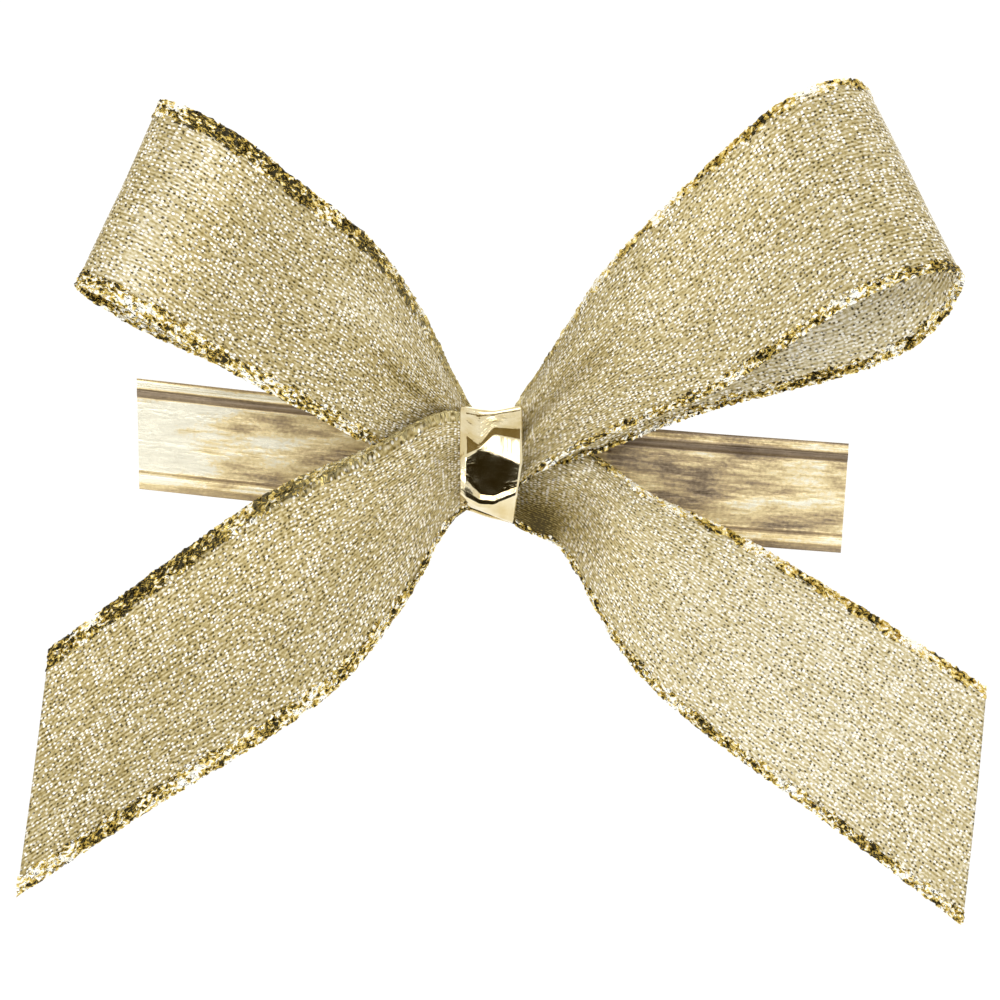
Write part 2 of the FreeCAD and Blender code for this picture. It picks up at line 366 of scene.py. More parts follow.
@dataclass(frozen=True)
class MirrorFoil:
    """Mirror-gold film with faint pressed ripples."""

    name: str = "mirror_foil"
    gold: Colour = (0.66, 0.53, 0.27)
    worn: Colour = (0.82, 0.73, 0.50)

    def material(self) -> Material:
        """Makes the foil's material.

        Returns:
            The material.
        """
        bench = NodeBench(self.name, roughness=0.07, metallic=1.0)
        _along, _across, vector = bench.uv()
        ripple = bench.noise(vector, 1.1, 0.8, detail=4.0)
        bench.feed("Base Color", bench.ramp(ripple, ((0.35, self.gold), (0.7, self.worn))))
        bench.feed("Roughness", bench.sum("MULTIPLY_ADD", ripple, 0.16, 0.01))
        bench.bump(ripple, 0.35, 0.12 * MM)
        return bench.material


@dataclass(frozen=True)
class TieFoil:
    """Pale gold film over wires, creased beside them, with painted shade that deepens near the bow.

    Its levels run from 0, brown, to 1, white. The left and right ones are painted shade, deepest near the
    bow and lighter on the left arm, and stand at shares of the reach, which has the band at 0.5. The lower
    and upper ones are painted highlight and shade lines beside the wires, partly the dark of the creases
    there, and stand at heights in millimetres and multiply them, with 0.5 on the flat.
    """

    name: str = "tie_foil"
    reach: float = 52.0
    left: Levels = ((0.03, 0.88), (0.13, 0.62), (0.24, 0.48))
    right: Levels = ((0.5, 0.32), (0.76, 0.35), (0.97, 0.53))
    lower: Levels = ((-3.95, 0.25), (-3.55, 0.34), (-3.3, 0.6), (-2.95, 0.5), (-2.78, 0.22), (-2.6, 0.52))
    upper: Levels = ((2.55, 0.56), (2.72, 0.12), (3.18, 0.16), (3.36, 0.62), (3.72, 0.6), (3.9, 0.25))
    streak_swing: float = 0.55
    smudge_swing: float = 1.3
    speck_swing: float = 0.4
    brown: Colour = (0.11, 0.075, 0.045)
    shade_brown: Colour = (0.31, 0.235, 0.150)
    gold: Colour = (0.60, 0.46, 0.25)
    pale: Colour = (0.97, 0.80, 0.44)
    white: Colour = (1.0, 0.96, 0.78)

    def material(self) -> Material:
        """Makes the film's material.

        Returns:
            The material.
        """
        bench = NodeBench(self.name, roughness=0.24, metallic=0.35)
        along, across, vector = bench.uv()
        # Painted shade that deepens towards the bow, with the left arm painted lighter.
        outward_stops = tuple((place, (level,) * 3) for place, level in self.left + self.right)
        value = bench.ramp(bench.sum("MULTIPLY_ADD", along, 1 / self.reach, 0.5), outward_stops)
        streak = bench.noise(vector, 0.5, 4.0, detail=5.0)
        value = bench.shift(value, streak, self.streak_swing)
        value = bench.shift(value, bench.noise(vector, 0.15, 0.55, detail=3.0), self.smudge_swing)
        value = bench.shift(value, bench.noise(vector, 3.5, 4.5, detail=2.0), self.speck_swing)
        # Painted highlight and shade lines along the wire ridges, partly the dark of the pressed creases.
        width = TIE_WIDTH / MM
        beside = self.lower + self.upper
        across_stops = tuple(((height + width / 2) / width, (level,) * 3) for height, level in beside)
        beside_wires = bench.ramp(bench.sum("MULTIPLY_ADD", across, 1 / width, 0.5), across_stops)
        value = bench.sum("MULTIPLY", value, bench.sum("MULTIPLY", beside_wires, 2.0))
        shade_stops = ((0.06, self.brown), (0.26, self.shade_brown), (0.44, self.gold))
        colour = bench.ramp(value, shade_stops + ((0.62, self.pale), (0.8, self.white)))
        bench.feed("Base Color", colour)
        bench.feed("Roughness", bench.sum("MULTIPLY_ADD", streak, 0.3, 0.1))
        bench.bump(value, 0.35, 0.1 * MM)
        return bench.material


@dataclass(frozen=True)
class DrawnWire:
    """Drawn steel wire with fine lengthwise die marks."""

    name: str = "drawn_wire"
    steel: Colour = (0.50, 0.50, 0.49)
    bright: Colour = (0.65, 0.65, 0.637)

    def material(self) -> Material:
        """Makes the wire's material.

        Returns:
            The material.
        """
        bench = NodeBench(self.name, roughness=0.3, metallic=1.0)
        _along, _across, vector = bench.uv()
        marks = bench.noise(vector, 0.3, 9.0, detail=2.0)
        bench.feed("Base Color", bench.ramp(marks, ((0.3, self.steel), (0.7, self.bright))))
        bench.bump(marks, 0.2, 0.03 * MM)
        return bench.material


# ---- meshes


def corners_of(node: str) -> np.ndarray:
    """The low and the high corner of a CAD node's box."""
    return np.array([list(corner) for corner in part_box(node)])


def strip(
    name: str, grid: np.ndarray, pattern: np.ndarray, flats: bool = False, closed: bool = False
) -> Object:
    """A mesh through a grid of points.

    Args:
        name: the piece's name.
        grid: the points, rows by columns, in metres.
        pattern: where each point is along and across the strip, in millimetres.
        flats: whether it is made of hard little triangles instead of a smooth surface.
        closed: whether the last row joins the first.

    Returns:
        The new object.
    """
    rows, columns = grid.shape[:2]
    steps = rows if closed else rows - 1
    corners = []
    for i in range(steps):
        for j in range(columns - 1):
            ring = [(i, j), (i, j + 1), (i + 1, j + 1), (i + 1, j)]
            if flats:
                turn = (i + j) % 2
                ring = ring[turn:] + ring[:turn]
                corners += [(ring[0], ring[1], ring[2]), (ring[0], ring[2], ring[3])]
            else:
                corners.append(tuple(ring))
    faces = [tuple((i % rows) * columns + j for i, j in face) for face in corners]
    mesh = bpy.data.meshes.new(name)
    mesh.from_pydata([tuple(p) for p in grid.reshape(-1, 3)], [], faces)
    low, high = pattern.reshape(-1, 2).min(0), pattern.reshape(-1, 2).max(0)
    around = 2 * pattern[-1] - pattern[-2]
    size = high - low + (around[0] - pattern[-1, 0]) * closed
    layers = [mesh.uv_layers.new(name=PATTERN_UV), mesh.uv_layers.new(name=BAKE_UV)]
    loop = 0
    for face in corners:
        for i, j in face:
            spot = pattern[i, j] if i < rows else around[j]
            layers[0].data[loop].uv = spot
            layers[1].data[loop].uv = BAKE_MARGIN + (1 - 2 * BAKE_MARGIN) * (spot - low) / size
            loop += 1
    mesh.polygons.foreach_set("use_smooth", [not flats] * len(mesh.polygons))
    mesh.validate()
    thing = bpy.data.objects.new(name, mesh)
    bpy.context.scene.collection.objects.link(thing)
    return thing


def thicken(thing: Object, thickness: float, offset: float = 0.0) -> None:
    """Gives a strip its thickness.

    Args:
        thing: the strip.
        thickness: how thick it gets, in metres.
        offset: 0 thickens it both ways, -1 inward only.
    """
    solid = thing.modifiers.new("thickness", "SOLIDIFY")
    solid.thickness = thickness
    solid.offset = offset
    solid.use_even_offset = False


def outward(grid: np.ndarray) -> np.ndarray:
    """The unit normal at each point of a grid."""
    normals = np.cross(np.gradient(grid, axis=0), np.gradient(grid, axis=1))
    return normals / np.maximum(np.linalg.norm(normals, axis=2, keepdims=True), 1e-12)


class Spline:
    """A natural cubic curve through values at given marks."""

    def __init__(self, marks: np.ndarray, values: np.ndarray) -> None:
        """Fits the curve.

        Args:
            marks: where each value stands, rising.
            values: one row for each mark.
        """
        self.marks, self.values = marks, values
        count, step = len(marks), np.diff(marks)
        system, right = np.eye(count), np.zeros_like(values)
        for i in range(1, count - 1):
            system[i, i - 1 : i + 2] = step[i - 1], 2 * (step[i - 1] + step[i]), step[i]
            rise = (values[i + 1] - values[i]) / step[i] - (values[i] - values[i - 1]) / step[i - 1]
            right[i] = 6 * rise
        self.bend = np.linalg.solve(system, right)

    def at(self, where: np.ndarray) -> np.ndarray:
        """The curve's values at many places.

        Args:
            where: the places, on the scale of the marks.

        Returns:
            One row for each place.
        """
        i = np.clip(np.searchsorted(self.marks, where) - 1, 0, len(self.marks) - 2)
        step = (self.marks[i + 1] - self.marks[i])[..., None]
        a = (self.marks[i + 1] - where)[..., None] / step
        b = 1 - a
        swell = ((a**3 - a) * self.bend[i] + (b**3 - b) * self.bend[i + 1]) * step**2 / 6
        return a * self.values[i] + b * self.values[i + 1] + swell


# ---- ribbon


@dataclass(frozen=True)
class Station:
    """A cross-section of a ribbon length: its edges as shares of the length's CAD box, and its arch (mm)."""

    lower: Point
    upper: Point
    arch: float


@dataclass(frozen=True)
class Gather:
    """How a ribbon length is pleated at the band: waves across it, where they start, their height and reach.

    They drift sideways over the reach, and within the mouth the band squeezes them down to the least share.
    """

    waves: float
    start: float
    height: float
    reach: float
    drift: float = 0.0
    mouth: float = 3 * MM
    least: float = 0.35


@dataclass(frozen=True)
class PaintedLight:
    """A painted highlight (positive lift) or painted shade (negative lift) on the cloth: its place along
    (mm) and across (share), its reach and its lift.
    """

    along: float
    across: float
    reach_along: float
    reach_across: float
    lift: float

    def at(self, s: np.ndarray, t: np.ndarray) -> np.ndarray:
        """How much it lifts the tone at places s (in metres) and t."""
        far = ((s / MM - self.along) / self.reach_along) ** 2 + ((t - self.across) / self.reach_across) ** 2
        return self.lift * np.exp(-far)


@dataclass
class RibbonLength:
    """A loop or a tail: a woven web between two tinsel edges, running out of the band.

    A pair of numbers is for the lower and the upper edge. The pinch is the share of an edge's width that the
    band takes away; past plain_from the yarn also loses its crinkle there.
    """

    body: str
    joint: str
    stations: tuple[Station, ...]
    inside: tuple[str, ...]
    front_side: int
    gather: Gather
    upper_glint: Glint
    lower_glint: Glint = Glint.MIXED
    cut: float = 0.0
    edges: tuple[float, float] = (1.35 * MM, 1.35 * MM)
    overlap: float = 0.23 * MM
    web_thickness: float = 0.2 * MM
    edge_thickness: float = 0.26 * MM
    web_pitch: float = 0.45 * MM
    web_columns: int = 37
    edge_pitch: float = 0.22 * MM
    edge_columns: int = 8
    ragged: float = 0.06 * MM
    ragged_across: float = 0.003
    crinkle: float = 0.12 * MM
    crinkle_kept: float = 0.2
    ripple: float = 0.08 * MM
    flutter: float = 0.09 * MM
    plain_from: float = 0.5
    pinch: tuple[float, float] = (0.4, 0.4)
    pinch_reach: float = 8 * MM
    throat: tuple[float, float] = (-2.6 * MM, 2.6 * MM)
    throat_depth: float = 0.7 * MM
    hinge_aim: float = 12 * MM
    hinge_reach: float = 5 * MM
    # Painted highlights and painted shade on the cloth, from the gather, the folds and the sheen near a
    # fold.
    light_and_shade: tuple[PaintedLight, ...] = ()
    seed: int = 1

    def __post_init__(self) -> None:
        """Lays the length's two edges through its stations."""
        self.nodes = (f"ribbon_{self.body}", f"{self.body}_lower_edge", f"{self.body}_upper_edge")
        corners = np.array([corners_of(node) for node in self.nodes])
        low, high = corners[:, 0].min(0), corners[:, 1].max(0)
        lower = [low + (high - low) * np.array(st.lower) for st in self.stations]
        upper = [low + (high - low) * np.array(st.upper) for st in self.stations]
        arch = [st.arch * MM for st in self.stations]
        for end, node in zip((0, len(lower)), self.inside):
            floor, top = self._in_band(node)
            lower.insert(end + (end > 0), floor)
            upper.insert(end + (end > 0), top)
            arch.insert(end + (end > 0), 0.0)
        lower, upper = np.array(lower), np.array(upper)
        steps = sum(np.linalg.norm(np.diff(edge, axis=0), axis=1) for edge in (lower, upper)) / 2
        marks = np.concatenate([[0.0], np.cumsum(steps)])
        self.length = marks[-1]
        self.lower, self.upper = Spline(marks, lower), Spline(marks, upper)
        self.arch = Spline(marks, np.array(arch)[:, None])
        self.random = np.random.default_rng(self.seed)

    def _in_band(self, node: str) -> tuple[np.ndarray, np.ndarray]:
        """The lower and upper ends of the middle line of a layer inside the band.

        Args:
            node: the CAD node of the layer.

        Returns:
            The lower end and the upper end, in metres.
        """
        low, high = corners_of(node)
        middle = (low + high) / 2
        middle[0] = math.copysign(self.throat_depth, corners_of(self.nodes[0])[:, 0].sum())
        up = np.array([0.0, 0.0, 1.0])
        return middle + up * self.throat[0], middle + up * self.throat[1]

    def surface(self, s: np.ndarray, t: np.ndarray) -> np.ndarray:
        """Points of the ribbon's middle surface.

        Args:
            s: how far along it each point is, in metres.
            t: how far across, from 0 at the lower edge to 1.

        Returns:
            The points, in metres.
        """
        lower, upper = self.lower.at(s), self.upper.at(s)
        reach = 0.05 * MM
        ahead, behind = np.minimum(s + reach, self.length), np.maximum(s - reach, 0.0)
        along = self.lower.at(ahead) + self.upper.at(ahead) - self.lower.at(behind) - self.upper.at(behind)
        chord = upper - lower
        out = np.cross(along, chord) * self.front_side
        out /= np.linalg.norm(out, axis=-1, keepdims=True)
        rise = self.arch.at(s)[..., 0] * 4 * t * (1 - t) + self.pleats(s, t, np.linalg.norm(chord, axis=-1))
        return lower + chord * t[..., None] + out * rise[..., None]

    def pleats(self, s: np.ndarray, t: np.ndarray, width: np.ndarray) -> np.ndarray:
        """How far gathered folds lift each point; they take up the width the ribbon loses at the band.

        Args:
            s: how far along each point is, in metres.
            t: how far across.
            width: how wide the ribbon stands there.

        Returns:
            The lift of each point, in metres.
        """
        spare = np.maximum(RIBBON_WIDTH - width, 0.0)
        needed = 2 * np.sqrt(spare * width) / (math.pi * self.gather.waves)
        near = self.from_band(s)
        squeeze = np.clip(near / self.gather.mouth, self.gather.least, 1.0)
        fade = np.exp(-((near / self.gather.reach) ** 2))
        height = np.minimum(needed, self.gather.height) * squeeze * fade
        phase = self.gather.start + self.gather.drift * near / self.gather.reach
        hold = np.clip(np.sin(math.pi * t), 0.0, 1.0)
        folds = np.sin(math.pi * (self.gather.waves * t + phase)) * hold**0.35
        slow, quick = np.sin(s / MM * 0.097 + self.seed), np.sin(s / MM * 0.31 + 4 * t + self.seed)
        return height * folds + self.flutter * quick * slow * (1 - fade) * hold

    def rows(self, pitch: float, t: np.ndarray) -> tuple[np.ndarray, np.ndarray]:
        """A grid of places on the ribbon: rows along it every pitch, columns at each t.

        Args:
            pitch: how far apart the rows are.
            t: where the columns stand across it.

        Returns:
            Each place's distance along and share across.
        """
        count = int(self.length / pitch)
        share = np.linspace(0, 1, count + 1)[:, None]
        ends = (self.length - self.cut * t)[None, :]
        return share * ends, np.broadcast_to(t, (count + 1, len(t)))

    def from_band(self, s: np.ndarray) -> np.ndarray:
        """How far each place along the ribbon is from the band; a loop has it at both ends."""
        return s if len(self.inside) == 1 else np.minimum(s, self.length - s)

    def near_band(self, s: np.ndarray) -> np.ndarray:
        """How near the band each place along the ribbon is, from 1 at the band down to 0."""
        return np.exp(-((self.from_band(s) / self.pinch_reach) ** 2))

    @staticmethod
    def paint(piece: Object, values: np.ndarray) -> None:
        """Writes one number for each point of a piece, which its material reads."""
        layer = piece.data.attributes.new(TONE, "FLOAT", "POINT")
        layer.data.foreach_set("value", values.reshape(-1))

    def pinched(self, s: np.ndarray, t: np.ndarray) -> np.ndarray:
        """The places across the ribbon with both tinsel edges drawn narrower near the band.

        Args:
            s: how far along each place is.
            t: how far across it is on the free ribbon.

        Returns:
            How far across it is once pinched.
        """
        fade = self.near_band(s)
        low, high = (width / RIBBON_WIDTH for width in self.edges)
        from_low, from_high = t * (1 - self.pinch[0] * fade), (1 - t) * (1 - self.pinch[1] * fade)
        return np.where(t < low, from_low, np.where(t > 1 - high, 1 - from_high, t))

    def web(self) -> Object:
        """Makes the woven part, its edges just under the tinsel.

        Returns:
            The new piece.
        """
        low, high = ((width - self.overlap) / RIBBON_WIDTH for width in self.edges)
        s, t = self.rows(self.web_pitch, np.linspace(low, 1 - high, self.web_columns))
        grid = self.surface(s, self.pinched(s, t))
        piece = strip(f"{self.body}_weave", grid, np.stack([s, t * RIBBON_WIDTH], -1) / MM)
        # Paints the length's painted highlights and shade onto the web.
        self.paint(piece, sum((tone.at(s, t) for tone in self.light_and_shade), np.zeros(s.shape)))
        thicken(piece, self.web_thickness)
        return piece

    def edge(self, name: str, low: float, high: float) -> Object:
        """Makes one tinsel edge.

        Args:
            name: the edge's name.
            low: where it starts across the ribbon.
            high: where it ends.

        Returns:
            The new piece.
        """
        s, t = self.rows(self.edge_pitch, np.linspace(low, high, self.edge_columns))
        s = np.clip(s + self.random.normal(0, self.ragged, s.shape), 0, self.length)
        t = np.clip(t + self.random.normal(0, self.ragged_across, s.shape), 0, 1)
        grid = self.surface(s, self.pinched(s, t))
        lift = self.random.uniform(-1, 1, s.shape) * self.crinkle
        lift += self.ripple * np.sin(s / MM * 2.1 + self.seed)
        spare = max(0.0, self.pinch[int(low > 0)] - self.plain_from)
        faded = self.near_band(s) * spare / (1 - self.plain_from)
        grid = grid + outward(grid) * (lift * (1 - (1 - self.crinkle_kept) * faded))[..., None]
        piece = strip(name, grid, np.stack([s, t * RIBBON_WIDTH], -1) / MM, flats=True)
        self.paint(piece, faded)
        thicken(piece, self.edge_thickness)
        return piece

    def build(
        self, weave: Material, tinsel: dict[Glint, Material]
    ) -> list[Object]:
        """Makes the web and both edges, dresses them and hides the CAD nodes they stand for.

        Args:
            weave: what the web is made of.
            tinsel: what an edge is made of, for each glint.

        Returns:
            The three pieces.
        """
        web = self.web()
        lower = self.edge(f"{self.body}_lower_tinsel", 0.0, self.edges[0] / RIBBON_WIDTH)
        upper = self.edge(f"{self.body}_upper_tinsel", 1 - self.edges[1] / RIBBON_WIDTH, 1.0)
        web.data.materials.append(weave)
        lower.data.materials.append(tinsel[self.lower_glint])
        upper.data.materials.append(tinsel[self.upper_glint])
        hinge = Vector(next(j["pos_m"] for j in frame["joints"] if j["name"] == self.joint))
        aim = np.array(self.hinge_aim)
        away = Vector((self.lower.at(aim) + self.upper.at(aim)) / 2) - hinge
        for piece in (web, lower, upper):
            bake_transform(piece)
        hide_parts(self.nodes[0], *self.inside)
        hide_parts(self.nodes[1])
        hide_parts(self.nodes[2])
        return [web, lower, upper]


# ---- centre band


@dataclass(frozen=True)
class Crease:
    """A crease running across the band: its height and its depth at each of five places across, in mm."""

    heights: tuple[float, float, float, float, float]
    depths: tuple[float, float, float, float, float]


@dataclass
class CentreBand:
    """The foil strip pulled tight round the gather, its front pressed into hard flats between creases.

    The creases' places across are in millimetres, left to right. The free end is glued under lap_crease.
    """

    across: tuple[float, ...] = (-2.25, -1.85, -0.9, 0.15, 2.2)
    creases: tuple[Crease, ...] = (
        Crease((4.0, 3.95, 3.75, 3.65, 4.05), (-0.35, -0.35, -0.35, -0.35, -0.35)),
        Crease((3.9, 3.88, 3.7, 3.6, 4.0), (-4.55, -4.7, -5.05, -5.13, -4.85)),
        Crease((1.9, 1.8, 1.18, 2.5, 2.3), (-5.0, -5.28, -5.74, -5.43, -5.28)),
        Crease((0.45, 0.5, 0.95, 1.92, 1.5), (-5.5, -5.78, -5.84, -5.66, -5.6)),
        Crease((0.05, 0.3, 0.78, 0.5, -0.3), (-5.70, -5.83, -5.84, -5.84, -5.86)),
        Crease((-1.2, -1.3, -2.3, -2.45, -1.77), (-5.76, -5.84, -5.84, -5.84, -5.84)),
        Crease((-1.9, -2.25, -2.75, -2.85, -2.15), (-5.86, -5.92, -5.91, -5.90, -5.90)),
        Crease((-2.2, -2.6, -3.1, -3.15, -2.4), (-5.86, -5.92, -5.91, -5.90, -5.90)),
        Crease((-2.95, -3.0, -3.35, -3.75, -4.3), (-4.9, -4.9, -4.9, -4.8, -4.6)),
        Crease((-3.1, -3.2, -3.5, -3.85, -4.3), (-0.4, -0.4, -0.4, -0.4, -0.4)),
        Crease((-2.9, -3.0, -3.3, -3.6, -4.1), (-0.03, -0.03, -0.03, -0.03, -0.03)),
        Crease((3.8, 3.7, 3.5, 3.5, 3.8), (-0.03, -0.03, -0.03, -0.03, -0.03)),
    )
    taper: float = 0.07
    lap_crease: int = 9
    lap_curl: float = 0.05 * MM
    lap_ripple: float = 0.02 * MM
    steps: int = 10
    softening: int = 1
    foil: float = 0.16 * MM

    def ring(self) -> tuple[np.ndarray, np.ndarray]:
        """The band's outer surface.

        Returns:
            Its points, rows round it and columns across it, and where each is along and across the strip.
        """
        heights = np.array([crease.heights for crease in self.creases])
        depths = np.array([crease.depths for crease in self.creases])
        count = len(self.creases)
        turn = np.arange(count * self.steps) / self.steps
        side = np.linspace(0, len(self.across) - 1, (len(self.across) - 1) * self.steps + 1)
        above = np.floor(turn).astype(int)
        below = (above + 1) % count
        share = (turn % 1)[:, None]
        places = np.arange(len(self.across))
        layers = []
        for table in (np.broadcast_to(self.across, heights.shape), depths, heights):
            rows = table[above] * (1 - share) + table[below] * share
            layers.append(np.array([np.interp(side, places, row) for row in rows]))
        grid = np.stack(layers, -1)
        for _turn in range(self.softening):
            around = (np.roll(grid, 1, 0) + np.roll(grid, -1, 0) + 2 * grid) / 4
            grid = around.copy()
            grid[:, 1:-1] = (around[:, 2:] + around[:, :-2] + 2 * around[:, 1:-1]) / 4
        grid[..., 0] *= 1 - self.taper * np.clip(-grid[..., 2], 0, None) * (grid[..., 0] > 0)
        run = np.linalg.norm(np.diff(grid[:, len(side) // 2], axis=0), axis=1)
        along = np.concatenate([[0.0], np.cumsum(run)])[:, None]
        pattern = np.stack([np.broadcast_to(along, grid.shape[:2]), grid[..., 0]], -1)
        return grid * MM, pattern

    def lap(self) -> Object:
        """The strip's free end, glued up under the band.

        Returns:
            The new piece.
        """
        low, high = corners_of("centre_band_lap")
        y = np.linspace(low[1], high[1], 14)[:, None]
        x = np.linspace(low[0], high[0], 9)[None, :]
        curl = (1 - (y - low[1]) / (high[1] - low[1])) ** 4 * self.lap_curl
        x = np.where(x > 0, x * (1 + self.taper * low[2] / MM), x)
        under = np.interp(x / MM, self.across, self.creases[self.lap_crease].heights) * MM
        z = under - self.foil - curl + self.lap_ripple * np.sin(x / MM * 3)
        grid = np.stack(np.broadcast_arrays(x, y, z), -1)
        piece = strip("centre_band_lap_foil", grid, np.stack(np.broadcast_arrays(y, x), -1) / MM)
        thicken(piece, self.foil)
        return piece

    def build(self, foil: Material) -> list[Object]:
        """Makes the band and its lap and rides them on the knot.

        Args:
            foil: what they are made of.

        Returns:
            The band and its lap.
        """
        grid, pattern = self.ring()
        band = strip("centre_band_foil", grid, pattern, closed=True)
        thicken(band, self.foil, offset=-1.0)
        lap = self.lap()
        for piece, node in ((band, "centre_band"), (lap, "centre_band_lap")):
            piece.data.materials.append(foil)
            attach(piece, "knot")
            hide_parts(node)
        return [band, lap]


# ---- clip tie


@dataclass(frozen=True)
class TieSpan:
    """A stretch of the clip tie: its start, end and hinge along it, its bodies and its CAD stretch."""

    name: str
    start: float
    end: float
    bodies: tuple[str, ...]
    hinge: float
    stands_for: str


@dataclass
class ClipTie:
    """Two foil films sealed over two wires, in stretches that meet at each hinge.

    The band squeezes its width by the waist, and its left end is cut on a slant, trimmed at the middle by
    end_trim.
    """

    wire_radius: float = 0.2 * MM
    wire_pitch: float = 0.4 * MM
    wire_sides: int = 12
    film: float = 0.1 * MM
    film_pitch: float = 0.3 * MM
    film_columns: int = 61
    film_lift: float = 0.16 * MM
    crease: float = 0.035 * MM
    wire_inset: float = 0.95 * MM
    bend_reach: float = 1.7 * MM
    hem: float = 0.01 * MM
    waist: float = 0.24
    waist_reach: float = 3.2 * MM
    slant: float = 0.135
    slant_reach: float = 6 * MM
    end_trim: float = 0.18 * MM
    end_share: float = 0.93
    fewest_rows: int = 8

    def __post_init__(self) -> None:
        """Lays the tie's middle line through its hinges."""
        hinges = {j["name"]: np.array(j["pos_m"]) for j in frame["joints"] if j["name"].endswith("_bend")}
        order = ("left_tip", "left_middle", "left_inner", "right_inner", "right_tip")
        points = [hinges[name + "_bend"] for name in order]
        ends = []
        for node, hinge in (("tie_left_tip_film_back", points[0]), ("tie_right_tip_film_back", points[-1])):
            low, high = corners_of(node)
            run = (low + high) / 2 - hinge
            run[1] = 0
            reach = (high[0] - low[0]) / 2 / abs(run[0])
            ends.append(hinge + run * (1 + reach * self.end_share))
        self.line = np.array([ends[0], *points, ends[1]])
        self.line[:, 1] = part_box("tie_centre_film_back")[0][1]
        self.marks = np.concatenate([[0.0], np.cumsum(np.linalg.norm(np.diff(self.line, axis=0), axis=1))])
        names = [f"tie_{name}" for name in order]
        names.insert(3, "knot")
        middles = (self.marks[1:] + self.marks[:-1]) / 2
        self.spans = [TieSpan("left_end", self.marks[0], middles[0], (names[0],), 0.0, names[0])]
        for i, hinge in enumerate(self.marks[1:-1]):
            outer, inner = (names[i], names[i + 1]) if i < names.index("knot") else (names[i + 1], names[i])
            shown = names[min(i + 1, len(names) - 2)]
            self.spans.append(TieSpan(order[i], middles[i], middles[i + 1], (inner, outer), hinge, shown))
        self.spans.append(TieSpan("right_end", middles[-1], self.marks[-1], (names[-1],), 0.0, names[-1]))

    def on_line(self, along: np.ndarray) -> np.ndarray:
        """Points of the tie's middle line, held at its ends."""
        return np.stack([np.interp(along, self.marks, self.line[:, k]) for k in range(3)], -1)

    def from_band(self, along: np.ndarray) -> np.ndarray:
        """How far to the right of the band's middle each place along the tie is."""
        return along - np.interp(0.0, self.line[:, 0], self.marks)

    def place(self, along: np.ndarray, across: np.ndarray, forward: np.ndarray) -> np.ndarray:
        """Points of the tie.

        Args:
            along: distance from its left end.
            across: distance above its middle line.
            forward: distance in front of its back film.

        Returns:
            The points, in metres.
        """
        near_end = np.clip(1 - along / self.slant_reach, 0.0, 1.0)
        along = along + near_end * (self.end_trim - self.slant * across)
        beyond = along - np.clip(along, self.marks[0], self.marks[-1])
        run = self.on_line(along + MM) - self.on_line(along - MM)
        run /= np.linalg.norm(run, axis=-1, keepdims=True)
        up = np.stack([-run[..., 2], np.zeros_like(along), run[..., 0]], -1)
        spot = self.on_line(along) + run * beyond[..., None]
        return spot + up * across[..., None] - np.array([0.0, 1.0, 0.0]) * forward[..., None]

    def squeeze(self, along: np.ndarray) -> np.ndarray:
        """What share of its width the tie keeps at each place; the band squeezes it."""
        return 1 - self.waist * np.exp(-((self.from_band(along) / self.waist_reach) ** 4))

    def film_piece(self, span: TieSpan, front: bool) -> Object:
        """Makes one film of a stretch; the front one is raised over the wires and a little creased.

        Args:
            span: the stretch.
            front: whether it is the front film.

        Returns:
            The new piece.
        """
        count = max(self.fewest_rows, int((span.end - span.start) / self.film_pitch))
        stops = np.linspace(span.start, span.end, count)
        stops = np.sort(np.append(stops, [span.start + self.hem, span.end - self.hem]))
        along, share = np.meshgrid(stops, np.linspace(-1, 1, self.film_columns), indexing="ij")
        across = share * TIE_WIDTH / 2 * self.squeeze(along)
        forward = np.full(along.shape, self.film / 2)
        if front:
            ridge = self.wire_radius + self.film
            off = np.abs(across) - (TIE_WIDTH / 2 - self.wire_inset) * self.squeeze(along)
            hump = np.sqrt(np.maximum(ridge**2 - off**2, 0))
            hump += self.film_lift * (hump > 0)
            crease = self.crease * np.sin(across / MM * 1.3 + 0.5 * np.sin(along / MM * 0.35))
            slack = np.clip(1 - (across / (TIE_WIDTH / 2)) ** 4, 0, 1)
            forward = self.film * 1.6 + hump + np.abs(crease) * slack
        side = "front" if front else "back"
        pattern = np.stack([self.from_band(along), across], -1) / MM
        piece = strip(f"tie_film_{side}_{span.name}", self.place(along, across, forward), pattern)
        thicken(piece, self.film)
        return piece

    def wire_piece(self, span: TieSpan, side: int) -> Object:
        """Makes one stretch of a wire; side is 1 for the upper one.

        Args:
            span: the stretch.
            side: 1 for the upper wire, -1 for the lower.

        Returns:
            The new piece.
        """
        count = max(self.fewest_rows, int((span.end - span.start) / self.wire_pitch))
        angle = np.linspace(0, 2 * math.pi, self.wire_sides + 1)
        along, turn = np.meshgrid(np.linspace(span.start, span.end, count), angle, indexing="ij")
        middle = (TIE_WIDTH / 2 - self.wire_inset) * 0.995 * self.squeeze(along)
        across = side * middle + self.wire_radius * np.sin(turn)
        forward = self.film + self.wire_radius * 1.15 + self.wire_radius * np.cos(turn)
        label = "upper" if side > 0 else "lower"
        pattern = np.stack([along, turn * self.wire_radius], -1) / MM
        return strip(f"tie_wire_{label}_{span.name}", self.place(along, across, forward), pattern)

    def join(self, piece: Object, span: TieSpan, part: str) -> None:
        """Rides a piece on its stretch's body where the stretch has only one, and hides the CAD node it
        stands for.

        Args:
            piece: the piece.
            span: its stretch.
            part: which film or wire it is.
        """
        if len(span.bodies) == 1:
            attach(piece, span.bodies[0])
        else:
            way = 1 if span.name.startswith("right") else -1
            ends = [
                self.place(np.array(span.hinge + k * way * self.bend_reach), np.array(0.0), np.array(0.0))
                for k in (-1, 1)
            ]
            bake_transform(piece)
        stem = span.stands_for.replace("knot", "tie_centre")
        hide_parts(f"{stem}_{part}")

